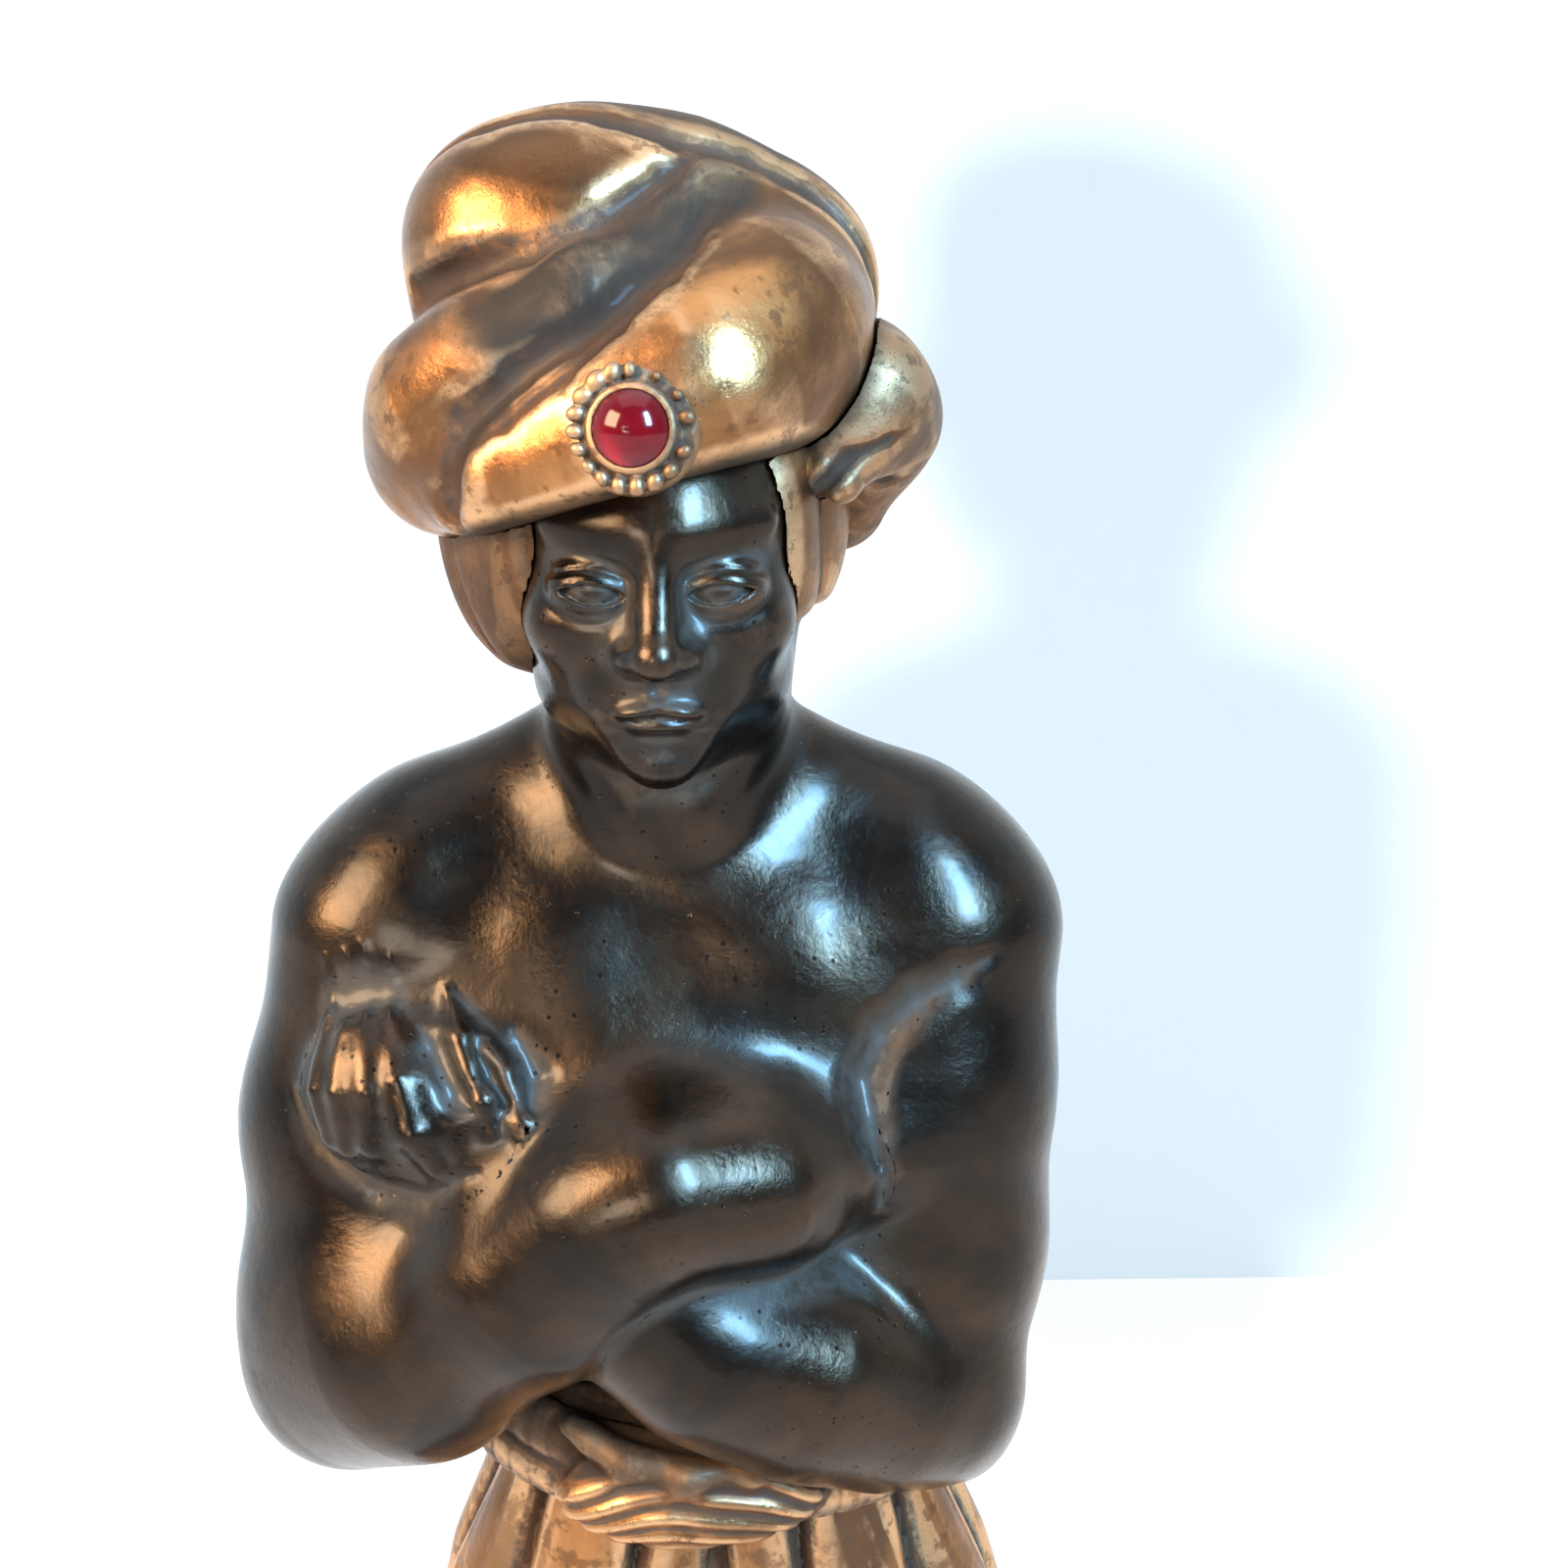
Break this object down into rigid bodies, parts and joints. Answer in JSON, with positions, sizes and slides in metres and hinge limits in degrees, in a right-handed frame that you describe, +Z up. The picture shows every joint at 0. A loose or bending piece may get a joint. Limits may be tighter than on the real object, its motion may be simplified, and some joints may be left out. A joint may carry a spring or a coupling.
{
  "type": "bronze statuette",
  "caption": "Cast bronze statuette of a turbaned man standing with folded arms, in pleated trousers and a sash, on a round plinth; the turban carries a red glass cabochon.",
  "frame": {"origin": "centre of the felt's underside, on the table", "axes": "+Z up, the figure faces -Y, +X is the figure's left-hand side"},
  "size_m": [0.1, 0.1, 0.3099],
  "materials": {
    "dark_bronze": "very dark brown patina, semi-gloss wax, rubbed golden brown on the high places",
    "copper_bronze": "polished copper colour with brown mottling, dark patina in the folds",
    "plinth_bronze": "dark brown patina, waxed",
    "zinc_steel": "zinc-plated steel hardware",
    "brass_pin": "drawn brass pins and rivets",
    "felt": "dark green pressed felt",
    "foil": "bright silver foil",
    "ruby_glass": "polished deep red glass"
  },
  "bodies": {
    "root": {"felt_pad": "felt", "base_plate": "zinc_steel", "base_screws": "zinc_steel", "plinth": "plinth_bronze", "slipper_right": "copper_bronze", "slipper_left": "copper_bronze", "foot_stud_right": "zinc_steel", "foot_stud_left": "zinc_steel", "foot_washers": "zinc_steel", "foot_nuts": "zinc_steel", "cuff_right": "copper_bronze", "cuff_left": "copper_bronze", "trousers": "copper_bronze", "sash": "copper_bronze", "waist_rivets": "brass_pin", "torso": "dark_bronze", "arm_right": "dark_bronze", "arm_left": "dark_bronze", "shoulder_pin_right": "zinc_steel", "shoulder_pin_left": "zinc_steel", "head": "dark_bronze", "neck_pin": "zinc_steel", "turban": "copper_bronze", "turban_knot": "copper_bronze", "turban_drape": "copper_bronze", "turban_pins": "brass_pin", "jewel_setting": "copper_bronze", "jewel_foil": "foil", "jewel": "ruby_glass"}
  },
  "joints": []
}
